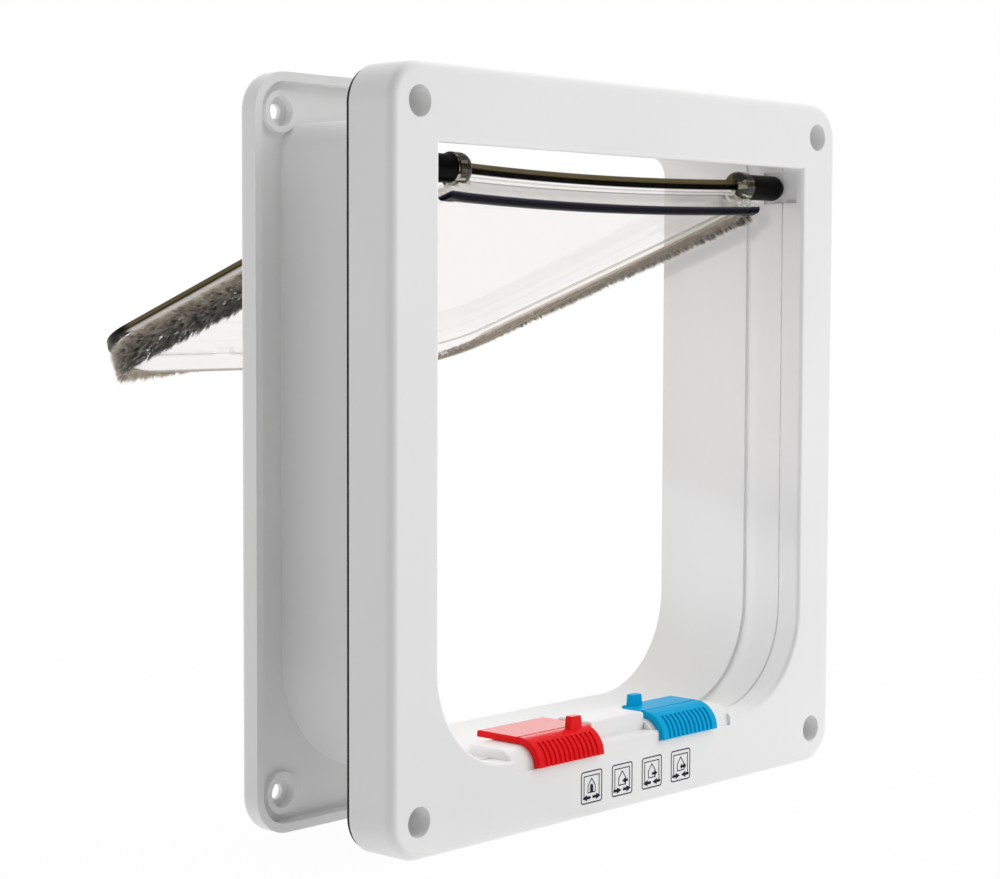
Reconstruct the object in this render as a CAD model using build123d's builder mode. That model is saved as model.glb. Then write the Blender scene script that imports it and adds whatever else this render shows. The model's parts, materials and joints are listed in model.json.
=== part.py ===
from build123d import *
import os
from math import cos, radians, sin

# A locking cat flap that is screwed through a door. X runs to the right as seen
# from the room, Y away from the room and Z up. The origin lies in the middle of
# the screw pattern, on the plane where the interior frame meets the door.

# Both frames
frame_width = 240
exterior_width = 244
frame_height = 250
frame_corner = 13
frame_edge = 3
frame_wall = 3
interior_depth = 18.6
exterior_depth = 8.4
door_gap = 41

# Screw holes in the corners of both frames
screw_inset = 12.5
screw_hole = 5
screw_head = 10
screw_floor = 4
boss_diameter = 14
exterior_boss_height = 2
exterior_web = 1.6

# Opening of the interior frame and the collar behind it
side_border = 21.5
head_border = 24.6
sill_border = 25
opening_corner = 34.5
opening_edge = 1.5
head_recess = 4.6
side_lip_depth = 9
side_step = 1
seal_groove_width = 1.4
seal_groove_depth = 1
collar_wall = 2.4
collar_reach = 2.4
collar_head_corner = 6
rib_thickness = 2
rib_height = 5
rib_spacing = 70

# Tunnel of the exterior frame, which slips over the collar
tunnel_clearance = 0.3
tunnel_wall = 4
tunnel_head_wall = 1.4
tunnel_sill_wall = 7.4
tunnel_step = 1
tunnel_entry = 9.4
socket_depth = 9.4
tunnel_head_corner = 10

# Foam gasket behind the interior frame
gasket_thickness = 1.6
gasket_width = 7
gasket_inset = 0.6

# Hinge: black bushes in the side walls, steel pins and clear knuckles
hinge_depth = 13.9
hinge_drop = 7
bush_diameter = 9.4
bush_length = 20.5
bush_rounding = 3
bush_pocket_depth = 1
bush_pocket_margin = 2.4
bush_pocket_rise = 6
bush_pocket_drop = 5.6
bush_stem_diameter = 7
stem_clearance = 0.05
pin_diameter = 4
pin_seat_clearance = 0.03
pin_running_clearance = 0.05
pin_in_bush = 18
pin_in_knuckle = 5
knuckle_diameter = 11
knuckle_length = 7
knuckle_rounding = 3.5
knuckle_gap = 0.4
bush_room = 1.3

# Flap: a clear tray, open towards the room, shown swung out of the door
flap_swing = 70
flap_side_gap = 2
flap_sill_gap = 8.4
flap_corner = 30
flap_thickness = 2.6
flap_offset = 1.2
flap_top = 1.5
flap_rounding = 0.6
bar_depth = 6
bar_rise = 2
bar_drop = 1.4
bar_rounding = 2.8
bar_sag = 4
bar_lip = 4.6
lip_rounding = 2
rim_inset = 3.3
rim_wall = 2.2
rim_depth = 7.6
rim_hinge_depth = 2.4
rim_rounding = 0.9
window_border = 18.5
window_recess = 0.6
window_corner = 14

# Pile strips on the outside of the rim
pile_width = 9.6
pile_lift = 1.8
pile_overhang = 0.9
pile_start = 12
pile_end = 40

# Lock sliders, which ride over rails on the sill
rail_height = 3.2
grip_drop = 3.6
rail_wall = 2.4
rail_end = 1.5
rail_end_rounding = 1.2
rail_root = 1
rail_setback = 0.8
channel_depth = 0.8
slide_clearance = 0.3
channel_clearance = 0.4
slider_thickness = 2.2
slider_rounding = 0.9
slider_end_rounding = 0.5
groove_width = 0.9
groove_depth = 0.5
red_inner_end = 18.3
red_length = 34
red_tab_centre = 25.8
red_tab_gap = 5.1
red_overhang = 6.5
blue_inner_end = 14.2
blue_length = 31.8
blue_tab_centre = 21.5
blue_tab_gap = 1.1
blue_overhang = 0.4
tab_width = 6.4
tab_taper = 0.7
tab_rounding = 0.6
tab_thickness = 2.6
tab_overlap = 1.3
notch_clearance = 1
notch_depth = 3
lock_margin = 1
foot_length = 9
foot_width = 3.2
hook_width = 1.2
hook_thickness = 1.6
rib_pitch = 2.4
grip_groove_width = 1.1
grip_groove_depth = 0.5
grip_margin = 2.2
grip_start_angle = 34

# Magnet catch in the middle of the sill and at the foot of the flap
cover_red_reach = 17.5
cover_blue_reach = 11
cover_height = 6.3
cover_front = 5
cover_rounding = 1
cover_gap = 0.3
magnet_length = 16
magnet_width = 8
magnet_height = 4
flap_magnet_drop = 6
magnet_clearance = 0.3

# Places worked out from the sizes above
front_y = -interior_depth
exterior_back_y = door_gap + exterior_depth
exterior_floor_y = exterior_back_y - frame_wall
screw_pitch_x = frame_width - 2 * screw_inset
screw_pitch_z = frame_height - 2 * screw_inset
half_opening = frame_width / 2 - side_border
head_z = frame_height / 2 - head_border
sill_z = sill_border - frame_height / 2
collar_side = half_opening + side_step
collar_head_z = head_z + head_recess
collar_corner = opening_corner + side_step
socket_grow = collar_wall + tunnel_clearance
hinge_y = front_y + hinge_depth
hinge_z = head_z - hinge_drop
bush_seat_x = collar_side + bush_pocket_depth
bush_inner_x = bush_seat_x - bush_length
knuckle_outer_x = bush_inner_x - knuckle_gap
flap_half_width = half_opening - flap_side_gap
flap_bottom = sill_z + flap_sill_gap - hinge_z
flap_shoulder = -bush_diameter / 2 - bush_room
flap_inner_face = flap_thickness - flap_offset
rim_crest = flap_inner_face + rim_depth
bar_line = flap_top - bar_depth / 2
bar_top_w = -flap_offset - bar_rise
bar_bottom_w = rim_crest + bar_drop
bar_end_x = knuckle_outer_x - knuckle_gap
rail_radius = rail_height + grip_drop
rail_y = front_y + channel_depth + rail_radius
rail_z = sill_z - grip_drop
rail_rear_y = collar_reach - rail_setback
red_rear_y = rail_rear_y + red_overhang
blue_rear_y = rail_rear_y + blue_overhang
slider_underside = rail_radius + slide_clearance
slider_radius = slider_underside + slider_thickness
foot_y = (rail_y + rail_rear_y) / 2
slide_travel = tab_width + 2 * notch_clearance + lock_margin
tab_top_z = hinge_z + flap_bottom + tab_overlap
red_tab_y = hinge_y - flap_inner_face - red_tab_gap - tab_thickness / 2
blue_tab_y = hinge_y + flap_offset + blue_tab_gap + tab_thickness / 2

# Side of the middle, inner end, length, tab place, tab depth and rear edge of each lock
locks = {
    "red": (-1, red_inner_end, red_length, red_tab_centre, red_tab_y, red_rear_y),
    "blue": (1, blue_inner_end, blue_length, blue_tab_centre, blue_tab_y, blue_rear_y),
}
rail_inner_ends = (cover_red_reach + cover_gap, cover_blue_reach + cover_gap)

# The flap's own plane: its x is X, its y runs up the flap and its z into the room
swing = radians(flap_swing)
flap_plane = Plane(
    origin=(0, hinge_y, hinge_z), x_dir=(1, 0, 0), z_dir=(0, -cos(swing), -sin(swing))
)
hinge_axis = Axis((0, hinge_y, hinge_z), (1, 0, 0))
into_room = Axis(flap_plane.origin, flap_plane.z_dir)
up_flap = Axis(flap_plane.origin, flap_plane.y_dir)

# The rim's crest slopes, because the rim grows deeper from the hinge to the foot
crest_foot = flap_plane.from_local_coords((0, flap_bottom, rim_crest))
crest_top = flap_plane.from_local_coords((0, 0, flap_inner_face + rim_hinge_depth))
crest_plane = Plane(
    origin=crest_foot, x_dir=(1, 0, 0), z_dir=Vector(1, 0, 0).cross(crest_top - crest_foot)
)
off_crest = Axis(crest_plane.origin, crest_plane.z_dir)


def room_plane(y):
    """A plane at depth y that faces the room, so that extrusions go towards the room."""
    return Plane.XZ.offset(-y)


def cross_plane(side, inner, outer):
    """A plane across the sill, at the lower X end of a stretch on one side of the middle."""
    return Plane.YZ.offset(min(side * inner, side * outer))


def opening_sketch(y, side, head, sill, corner, head_corner=0):
    """An upright opening at depth y, with large corners at the sill."""
    with BuildSketch(room_plane(y)) as outline:
        with Locations((0, (head + sill) / 2)):
            Rectangle(2 * side, head - sill)
        fillet(outline.vertices().group_by(Axis.Y)[0], corner)
        if head_corner:
            fillet(outline.vertices().group_by(Axis.Y)[-1], head_corner)
    return outline.sketch


def collar_sketch(y, grow, head_corner):
    """The collar's inner outline at depth y, grown by a wall or a clearance."""
    sill = sill_z - grow
    corner = collar_corner + grow
    return opening_sketch(y, collar_side + grow, collar_head_z + grow, sill, corner, head_corner)


def rail_sketch(plane, radius, rear, bottom):
    """Section of a rail across the sill, with a round front that the grip slides over."""
    with BuildSketch(plane) as section:
        with BuildLine():
            round_front = CenterArc((rail_y, rail_z), radius, 90, 90)
            Polyline(round_front @ 1, (rail_y, rail_z), round_front @ 0)
        make_face()
        with Locations((rail_y, bottom)):
            Rectangle(rear - rail_y, rail_z + radius - bottom, align=(Align.MIN, Align.MIN))
    return section.sketch


def lock_rail(rail_inner, side, inner_end, length):
    """The rail that one slider rides on, with rounded edges at its outer end."""
    outer_end = inner_end + length + slide_travel + rail_end
    section = rail_sketch(
        cross_plane(side, rail_inner, outer_end), rail_radius, rail_rear_y, sill_z - rail_root
    )
    with BuildPart() as rail:
        extrude(section, amount=outer_end - rail_inner)
        end_face = rail.faces().sort_by(Axis.X)[-1 if side > 0 else 0]
        fillet(end_face.edges().sort_by(Axis.Z)[1:], rail_end_rounding)
    return rail.part


def flap_sketch(w, inset):
    """Outline of the flap at distance w into the room, drawn in by an inset and bowed at the top."""
    bottom = flap_bottom + inset
    shoulder = flap_shoulder - inset
    half_width = flap_half_width - inset
    bar_half_width = knuckle_outer_x - inset
    top = min(flap_top - inset, bar_line)
    with BuildSketch(flap_plane.offset(w)) as outline:
        with Locations((0, (bottom + shoulder) / 2)):
            Rectangle(2 * half_width, shoulder - bottom)
        fillet(outline.vertices().group_by(Axis.Y)[0], flap_corner - inset)
        with BuildLine():
            bow = ThreePointArc((-bar_half_width, top), (0, top - bar_sag), (bar_half_width, top))
            below = shoulder - bar_sag
            Polyline(bow @ 1, (bar_half_width, below), (-bar_half_width, below), bow @ 0)
        make_face()
    return outline.sketch


# Interior frame: a tray that is open towards the door, with a collar round the opening
rails = [lock_rail(inner, *lock[:3]) for inner, lock in zip(rail_inner_ends, locks.values())]
with BuildPart() as interior_frame:
    with BuildSketch(room_plane(0)):
        RectangleRounded(frame_width, frame_height, frame_corner)
    extrude(amount=interior_depth)
    fillet(interior_frame.faces().sort_by(Axis.Y)[0].edges(), frame_edge)
    with BuildSketch(room_plane(0)):
        RectangleRounded(
            frame_width - 2 * frame_wall,
            frame_height - 2 * frame_wall,
            frame_corner - frame_wall,
        )
    extrude(amount=interior_depth - frame_wall, mode=Mode.SUBTRACT)

    # Collar, screw bosses and ribs behind the front plate
    outline = collar_sketch(collar_reach, collar_wall, collar_head_corner + collar_wall)
    extrude(outline, amount=collar_reach - front_y - frame_wall)
    with BuildSketch(room_plane(0)):
        with GridLocations(screw_pitch_x, screw_pitch_z, 2, 2):
            Circle(boss_diameter / 2)
    extrude(amount=interior_depth - frame_wall)
    with BuildSketch(room_plane(front_y + frame_wall + rib_height)):
        with GridLocations(0, rib_spacing, 1, 3):
            Rectangle(frame_width - frame_wall, rib_thickness)
        with GridLocations(rib_spacing, 0, 3, 1):
            Rectangle(rib_thickness, frame_height - frame_wall)
    extrude(amount=rib_height)

    # Opening: a lip all round at the front, and room for the hinge bar behind its head
    side_lip_y = front_y + side_lip_depth
    head_lip_y = front_y + frame_wall
    outline = collar_sketch(collar_reach, 0, collar_head_corner)
    extrude(outline, amount=collar_reach - side_lip_y, mode=Mode.SUBTRACT)
    outline = opening_sketch(
        side_lip_y, half_opening, collar_head_z, sill_z, opening_corner, collar_head_corner
    )
    extrude(outline, amount=side_lip_y - head_lip_y, mode=Mode.SUBTRACT)
    outline = opening_sketch(head_lip_y, half_opening, head_z, sill_z, opening_corner)
    extrude(outline, amount=frame_wall, mode=Mode.SUBTRACT)
    fillet(interior_frame.faces().sort_by(Axis.Y)[0].inner_wires()[0].edges(), opening_edge)

    # Groove behind the side lip, and a pocket for each bush in the side walls
    outline = collar_sketch(side_lip_y + seal_groove_width, seal_groove_depth, collar_head_corner)
    extrude(outline, amount=seal_groove_width, mode=Mode.SUBTRACT)
    pocket_y = collar_reach - bush_pocket_margin
    with BuildSketch(room_plane(pocket_y)):
        with Locations((0, hinge_z - bush_pocket_drop)):
            Rectangle(
                2 * bush_seat_x, bush_pocket_rise + bush_pocket_drop, align=(Align.CENTER, Align.MIN)
            )
    extrude(amount=pocket_y - head_lip_y, mode=Mode.SUBTRACT)

    # Rails for the sliders, cored from below, with a channel for the grip and a slot for the foot
    for lock, rail_inner, rail in zip(locks.values(), rail_inner_ends, rails):
        side, inner_end, length = lock[:3]
        outer_end = inner_end + length + slide_travel
        channel = (inner_end - channel_clearance, outer_end + channel_clearance)
        core = (rail_inner + rail_wall, outer_end + rail_end - rail_wall)
        slot_reach = foot_length / 2 + channel_clearance
        slot_middle = inner_end + length / 2
        slot = (slot_middle - slot_reach, slot_middle + slide_travel + slot_reach)
        with BuildSketch(cross_plane(side, *channel)):
            with Locations((front_y, rail_z)):
                Rectangle(channel_depth + rail_radius, rail_radius, align=(Align.MIN, Align.MIN))
                Rectangle(channel_depth, channel_clearance, align=(Align.MIN, Align.MAX))
        extrude(amount=channel[1] - channel[0], mode=Mode.SUBTRACT)
        add(rail)
        core_radius = rail_radius - rail_wall
        core_rear_y = rail_rear_y - rail_wall
        section = rail_sketch(cross_plane(side, *core), core_radius, core_rear_y, sill_z - collar_wall)
        extrude(section, amount=core[1] - core[0], mode=Mode.SUBTRACT)
        with BuildSketch(cross_plane(side, *slot)):
            with Locations((foot_y, rail_z + rail_radius)):
                Rectangle(
                    foot_width + 2 * channel_clearance, 2 * (rail_wall + slide_clearance)
                )
        extrude(amount=slot[1] - slot[0], mode=Mode.SUBTRACT)

    # Holes for the hinge bushes and the screws
    with BuildSketch(Plane.YZ.offset(-collar_side - collar_wall)):
        with Locations((hinge_y, hinge_z)):
            Circle(bush_stem_diameter / 2 + stem_clearance)
    extrude(amount=2 * (collar_side + collar_wall), mode=Mode.SUBTRACT)
    with Locations(room_plane(front_y)):
        with GridLocations(screw_pitch_x, screw_pitch_z, 2, 2):
            CounterBoreHole(screw_hole / 2, screw_head / 2, interior_depth - screw_floor)

# Exterior frame: a flange with a rim towards the door, and the tunnel through the door
tunnel_front_y = -tunnel_entry
with BuildPart() as exterior_frame:
    with BuildSketch(room_plane(exterior_back_y)):
        RectangleRounded(exterior_width, frame_height, frame_corner)
    extrude(amount=exterior_depth)
    fillet(exterior_frame.faces().sort_by(Axis.Y)[-1].edges(), frame_edge)
    with BuildSketch(room_plane(exterior_floor_y)):
        RectangleRounded(
            exterior_width - 2 * frame_wall,
            frame_height - 2 * frame_wall,
            frame_corner - frame_wall,
        )
    extrude(amount=exterior_depth - frame_wall, mode=Mode.SUBTRACT)
    with BuildSketch(room_plane(exterior_floor_y)):
        with GridLocations(screw_pitch_x, screw_pitch_z, 2, 2):
            Circle(boss_diameter / 2)
    extrude(amount=exterior_boss_height)
    outline = opening_sketch(
        exterior_floor_y,
        collar_side + socket_grow + tunnel_wall,
        collar_head_z + socket_grow + tunnel_head_wall,
        sill_z - socket_grow - tunnel_sill_wall,
        collar_corner + socket_grow + tunnel_wall,
        tunnel_head_corner,
    )
    extrude(outline, amount=exterior_floor_y - tunnel_front_y)
    bore_grow = socket_grow - tunnel_step
    outline = collar_sketch(exterior_back_y, bore_grow, collar_head_corner + bore_grow)
    extrude(outline, amount=exterior_back_y - tunnel_front_y, mode=Mode.SUBTRACT)
    outline = collar_sketch(socket_depth, socket_grow, collar_head_corner + socket_grow)
    extrude(outline, amount=socket_depth - tunnel_front_y, mode=Mode.SUBTRACT)
    boss_y = exterior_floor_y - exterior_boss_height
    with Locations(room_plane(boss_y)):
        with GridLocations(screw_pitch_x, screw_pitch_z, 2, 2):
            CounterBoreHole(screw_hole / 2, screw_head / 2, exterior_back_y - exterior_web - boss_y)

# Foam gasket between the interior frame and the door
with BuildPart() as door_gasket:
    with BuildSketch(room_plane(gasket_thickness)):
        for inset, mode in ((gasket_inset, Mode.ADD), (gasket_inset + gasket_width, Mode.SUBTRACT)):
            RectangleRounded(
                frame_width - 2 * inset,
                frame_height - 2 * inset,
                frame_corner - inset,
                mode=mode,
            )
    extrude(amount=gasket_thickness)

# Flap: panel, lock notches, rim, recessed window, hinge bar and knuckles
with BuildPart() as flap_panel:
    outline = flap_sketch(-flap_offset, 0)
    extrude(outline, amount=flap_thickness)
    outer_edges = flap_panel.faces().sort_by(into_room)[0].edges()
    free_edges = outer_edges.filter_by_position(
        up_flap, flap_bottom - flap_rounding, flap_shoulder - flap_rounding
    )
    fillet(free_edges, flap_rounding)
    with BuildSketch(flap_plane.offset(-flap_offset)):
        for side, _, _, tab_centre, _, _ in locks.values():
            with Locations((side * tab_centre, flap_bottom)):
                Rectangle(tab_width + 2 * notch_clearance, 2 * notch_depth)
    extrude(amount=flap_thickness, mode=Mode.SUBTRACT)
    outline = flap_sketch(flap_inner_face, rim_inset)
    extrude(outline, amount=rim_depth)
    outline = flap_sketch(flap_inner_face, rim_inset + rim_wall)
    extrude(outline, amount=rim_depth, mode=Mode.SUBTRACT)
    split(bisect_by=crest_plane, keep=Keep.BOTTOM)
    fillet(flap_panel.faces().sort_by(off_crest)[-1].edges(), rim_rounding)
    with BuildSketch(flap_plane.offset(flap_inner_face - window_recess)):
        with Locations((0, (flap_bottom + flap_shoulder) / 2)):
            RectangleRounded(
                2 * (flap_half_width - window_border),
                flap_shoulder - flap_bottom - 2 * window_border,
                window_corner,
            )
    extrude(amount=window_recess, mode=Mode.SUBTRACT)
    bar_middle_w = (bar_top_w + bar_bottom_w) / 2
    with BuildLine(flap_plane.offset(bar_middle_w)):
        bow = ThreePointArc((-bar_end_x, bar_line), (0, bar_line - bar_sag), (bar_end_x, bar_line))
    with BuildSketch(Plane(bow @ 0, x_dir=flap_plane.z_dir, z_dir=bow % 0)):
        RectangleRounded(bar_bottom_w - bar_top_w, bar_depth, bar_rounding)
    sweep()

    # The bar's lower lip, which runs on below the bushes, and the knuckles at its ends
    lip_top_w = bush_diameter / 2 + bush_room
    lip_shift = flap_plane.z_dir * ((lip_top_w + bar_bottom_w) / 2 - bar_middle_w)
    for end, outward in ((bow @ 0, -(bow % 0)), (bow @ 1, bow % 1)):
        with BuildSketch(Plane(end + lip_shift, x_dir=flap_plane.z_dir, z_dir=outward)):
            RectangleRounded(bar_bottom_w - lip_top_w, bar_depth, lip_rounding)
        extrude(amount=bar_lip)
    for side in (-1, 1):
        with BuildSketch(flap_plane.rotated((-90, 0, 0))) as knuckle_section:
            with Locations((side * (knuckle_outer_x - knuckle_length / 2), 0)):
                Rectangle(knuckle_length, knuckle_diameter)
            inner_corners = knuckle_section.vertices().group_by(Axis.X)[0 if side > 0 else -1]
            fillet(inner_corners, knuckle_rounding)
            Rectangle(
                2 * knuckle_outer_x,
                knuckle_diameter,
                align=(Align.CENTER, Align.MAX),
                mode=Mode.SUBTRACT,
            )
        revolve(axis=hinge_axis)
        bore_depth = pin_in_knuckle + knuckle_gap
        with BuildSketch(cross_plane(side, knuckle_outer_x - bore_depth, knuckle_outer_x)):
            with Locations((hinge_y, hinge_z)):
                Circle(pin_diameter / 2 + pin_running_clearance)
        extrude(amount=bore_depth, mode=Mode.SUBTRACT)

# Pile strips: one down each side of the rim and round the corner below it
pile_w = flap_inner_face + pile_lift
pile_bottom = flap_bottom - pile_overhang
with BuildPart() as pile_strip_left:
    with BuildSketch(flap_plane.offset(pile_w)) as pile_outline:
        for inset, mode in ((-pile_overhang, Mode.ADD), (rim_inset, Mode.SUBTRACT)):
            with BuildSketch(mode=Mode.PRIVATE) as run:
                with Locations((0, flap_bottom + inset)):
                    Rectangle(2 * (flap_half_width - inset), -flap_bottom, align=(Align.CENTER, Align.MIN))
                fillet(run.vertices().group_by(Axis.Y)[0], flap_corner - inset)
            add(run.sketch, mode=mode)
        with Locations((-pile_end, -pile_start)):
            Rectangle(
                flap_half_width, -pile_bottom, align=(Align.MAX, Align.MAX), mode=Mode.INTERSECT
            )
    extrude(amount=pile_width)
with BuildPart() as pile_strip_right:
    mirror(pile_strip_left.part, about=Plane.YZ)

# Hinge bushes, with a stem through the collar's wall, and the pins that they hold
stem_reach = bush_length + collar_wall - bush_pocket_depth
with BuildPart() as hinge_bush_right:
    with BuildSketch(Plane.XY.offset(hinge_z)) as bush_section:
        with Locations((bush_inner_x, hinge_y)):
            Rectangle(bush_length, bush_diameter / 2, align=(Align.MIN, Align.MIN))
        wall_corner = bush_section.vertices().group_by(Axis.Y)[-1].sort_by(Axis.X)[-1]
        fillet(wall_corner, bush_rounding)
        with Locations((bush_inner_x, hinge_y)):
            Rectangle(stem_reach, bush_stem_diameter / 2, align=(Align.MIN, Align.MIN))
            Rectangle(
                stem_reach,
                pin_diameter / 2 + pin_seat_clearance,
                align=(Align.MIN, Align.MIN),
                mode=Mode.SUBTRACT,
            )
    revolve(axis=hinge_axis)
with BuildPart() as hinge_bush_left:
    mirror(hinge_bush_right.part, about=Plane.YZ)
with BuildPart() as hinge_pin_right:
    with BuildSketch(Plane.YZ.offset(knuckle_outer_x - pin_in_knuckle)):
        with Locations((hinge_y, hinge_z)):
            Circle(pin_diameter / 2)
    extrude(amount=pin_in_knuckle + knuckle_gap + pin_in_bush)
with BuildPart() as hinge_pin_left:
    mirror(hinge_pin_right.part, about=Plane.YZ)


def lock_slider(side, inner_end, length, tab_centre, tab_y, rear_y):
    """A thin plate that curls over the rail's front, with a ribbed grip, a tab and a hooked foot."""
    plate_top_z = rail_z + slider_radius
    underside_z = rail_z + slider_underside
    grip_ends = cross_plane(side, inner_end, inner_end + length)
    middle_x = side * (inner_end + length / 2)
    with BuildPart() as slider:
        # Plate and grip
        with BuildSketch(grip_ends) as section:
            with BuildLine():
                outside = CenterArc((rail_y, rail_z), slider_radius, 90, 90)
                inside = CenterArc((rail_y, rail_z), slider_underside, 90, 90)
                Line(outside @ 1, inside @ 1)
                Polyline(
                    inside @ 0, (rear_y, underside_z), (rear_y, plate_top_z), outside @ 0
                )
            make_face()
            rear_top = section.vertices().sort_by(Axis.X)[-2:].sort_by(Axis.Y)[-1]
            fillet(rear_top, slider_rounding)
        extrude(amount=length)
        round_edges = slider.edges().filter_by(GeomType.CIRCLE)
        grip_edges = round_edges.filter_by(lambda edge: edge.radius > slider_underside + slide_clearance)
        fillet(grip_edges, slider_end_rounding)
        with BuildSketch(grip_ends):
            with Locations((rail_y, plate_top_z)):
                Rectangle(groove_width, 2 * groove_depth, align=(Align.MIN, Align.CENTER))
        extrude(amount=length, mode=Mode.SUBTRACT)

        # Ribs, left standing between grooves that run down the round front
        groove_count = int((length - 2 * grip_margin) / rib_pitch)
        groove_floor = slider_radius - grip_groove_depth
        groove_arc = (90 + grip_start_angle, 90 - grip_start_angle)
        for number in range(groove_count):
            groove_x = middle_x + (number - (groove_count - 1) / 2) * rib_pitch
            with BuildSketch(Plane.YZ.offset(groove_x - grip_groove_width / 2)):
                with BuildLine():
                    crest = CenterArc((rail_y, rail_z), slider_radius + grip_groove_depth, *groove_arc)
                    floor = CenterArc((rail_y, rail_z), groove_floor, *groove_arc)
                    Line(crest @ 0, floor @ 0)
                    Line(crest @ 1, floor @ 1)
                make_face()
            extrude(amount=grip_groove_width, mode=Mode.SUBTRACT)

        # Tab, which stands in the way of the flap when the slider is pushed outward
        with BuildSketch(room_plane(tab_y + tab_thickness / 2)) as tab_outline:
            with BuildLine():
                tab_x = side * tab_centre
                half_base = tab_width / 2
                half_tip = half_base - tab_taper
                Polyline(
                    (tab_x - half_base, underside_z),
                    (tab_x - half_tip, tab_top_z),
                    (tab_x + half_tip, tab_top_z),
                    (tab_x + half_base, underside_z),
                    close=True,
                )
            make_face()
            fillet(tab_outline.vertices().group_by(Axis.Y)[-1], tab_rounding)
        extrude(amount=tab_thickness)

        # Beyond the flap the plate is cut back to the side of its tab
        if tab_y > hinge_y:
            cut_width = tab_centre - tab_width / 2 - inner_end
            cut_y = tab_y - tab_thickness / 2
            with BuildSketch(cross_plane(side, inner_end, inner_end + cut_width)):
                with Locations((cut_y, underside_z)):
                    Rectangle(rear_y - cut_y, slider_thickness, align=(Align.MIN, Align.MIN))
            extrude(amount=cut_width, mode=Mode.SUBTRACT)

        # Foot through the rail's slot, with a hook below it
        hook_top_z = rail_z + rail_radius - rail_wall - slide_clearance
        with BuildSketch(Plane.YZ.offset(middle_x - foot_length / 2)):
            with Locations((foot_y, hook_top_z - hook_thickness)):
                Rectangle(
                    foot_width,
                    underside_z - hook_top_z + hook_thickness,
                    align=(Align.CENTER, Align.MIN),
                )
                Rectangle(
                    foot_width + 2 * hook_width, hook_thickness, align=(Align.CENTER, Align.MIN)
                )
        extrude(amount=foot_length)
    return slider


red_lock_slider = lock_slider(*locks["red"])
blue_lock_slider = lock_slider(*locks["blue"])

# Magnet under its cover on the sill, and the magnet behind the flap's rim
with BuildPart() as magnet_cover:
    with BuildSketch(room_plane(rail_rear_y)):
        with Locations((-cover_red_reach, sill_z)):
            Rectangle(cover_red_reach + cover_blue_reach, cover_height, align=(Align.MIN, Align.MIN))
    extrude(amount=rail_rear_y - front_y - cover_front)
    upper_edges = magnet_cover.edges().group_by(Axis.Z)[-1]
    fillet(upper_edges, cover_rounding)
    cover_middle_y = (rail_rear_y + front_y + cover_front) / 2
    with BuildSketch(Plane.XY.offset(sill_z)):
        with Locations((0, cover_middle_y)):
            Rectangle(magnet_length + 2 * magnet_clearance, magnet_width + 2 * magnet_clearance)
    extrude(amount=magnet_height + magnet_clearance, mode=Mode.SUBTRACT)
with BuildPart() as sill_magnet:
    with BuildSketch(Plane.XY.offset(sill_z)):
        with Locations((0, cover_middle_y)):
            Rectangle(magnet_length, magnet_width)
    extrude(amount=magnet_height)
with BuildPart() as flap_magnet:
    with BuildSketch(flap_plane.offset(flap_inner_face)):
        with Locations((0, flap_bottom + rim_inset + rim_wall + magnet_clearance)):
            Rectangle(magnet_length, flap_magnet_drop, align=(Align.CENTER, Align.MIN))
    extrude(amount=magnet_height)

pieces = {
    "interior_frame": interior_frame,
    "exterior_frame": exterior_frame,
    "door_gasket": door_gasket,
    "flap_panel": flap_panel,
    "pile_strip_left": pile_strip_left,
    "pile_strip_right": pile_strip_right,
    "hinge_bush_left": hinge_bush_left,
    "hinge_bush_right": hinge_bush_right,
    "hinge_pin_left": hinge_pin_left,
    "hinge_pin_right": hinge_pin_right,
    "red_lock_slider": red_lock_slider,
    "blue_lock_slider": blue_lock_slider,
    "magnet_cover": magnet_cover,
    "sill_magnet": sill_magnet,
    "flap_magnet": flap_magnet,
}
os.makedirs("parts", exist_ok=True)
for name, piece in pieces.items():
    piece.part.label = name
    export_step(piece.part, f"parts/{name}.step")
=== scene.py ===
import json

import bpy
import numpy as np
from mathutils import Matrix, Vector


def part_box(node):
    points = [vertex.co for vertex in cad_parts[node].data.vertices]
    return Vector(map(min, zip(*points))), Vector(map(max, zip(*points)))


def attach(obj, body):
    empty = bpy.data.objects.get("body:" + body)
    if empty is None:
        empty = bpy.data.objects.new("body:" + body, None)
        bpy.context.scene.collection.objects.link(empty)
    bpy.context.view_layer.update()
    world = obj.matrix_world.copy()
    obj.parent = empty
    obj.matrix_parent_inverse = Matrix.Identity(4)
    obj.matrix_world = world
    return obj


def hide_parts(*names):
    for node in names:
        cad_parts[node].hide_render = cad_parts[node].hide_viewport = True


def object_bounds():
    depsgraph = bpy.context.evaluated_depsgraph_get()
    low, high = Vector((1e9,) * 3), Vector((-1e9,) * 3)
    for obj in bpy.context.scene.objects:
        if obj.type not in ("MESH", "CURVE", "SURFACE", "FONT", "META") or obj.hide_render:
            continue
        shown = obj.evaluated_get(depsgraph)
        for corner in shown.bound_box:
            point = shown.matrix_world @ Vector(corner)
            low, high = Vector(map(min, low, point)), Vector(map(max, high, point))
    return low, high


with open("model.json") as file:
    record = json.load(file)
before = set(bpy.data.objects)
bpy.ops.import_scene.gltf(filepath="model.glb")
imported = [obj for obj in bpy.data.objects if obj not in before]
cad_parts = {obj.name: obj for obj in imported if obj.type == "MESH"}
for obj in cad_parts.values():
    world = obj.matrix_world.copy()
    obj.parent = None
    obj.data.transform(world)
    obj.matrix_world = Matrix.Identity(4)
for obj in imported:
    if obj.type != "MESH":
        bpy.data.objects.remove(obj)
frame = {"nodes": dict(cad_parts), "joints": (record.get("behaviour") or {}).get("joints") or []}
cad_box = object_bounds()
nodes = frame["nodes"]

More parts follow.
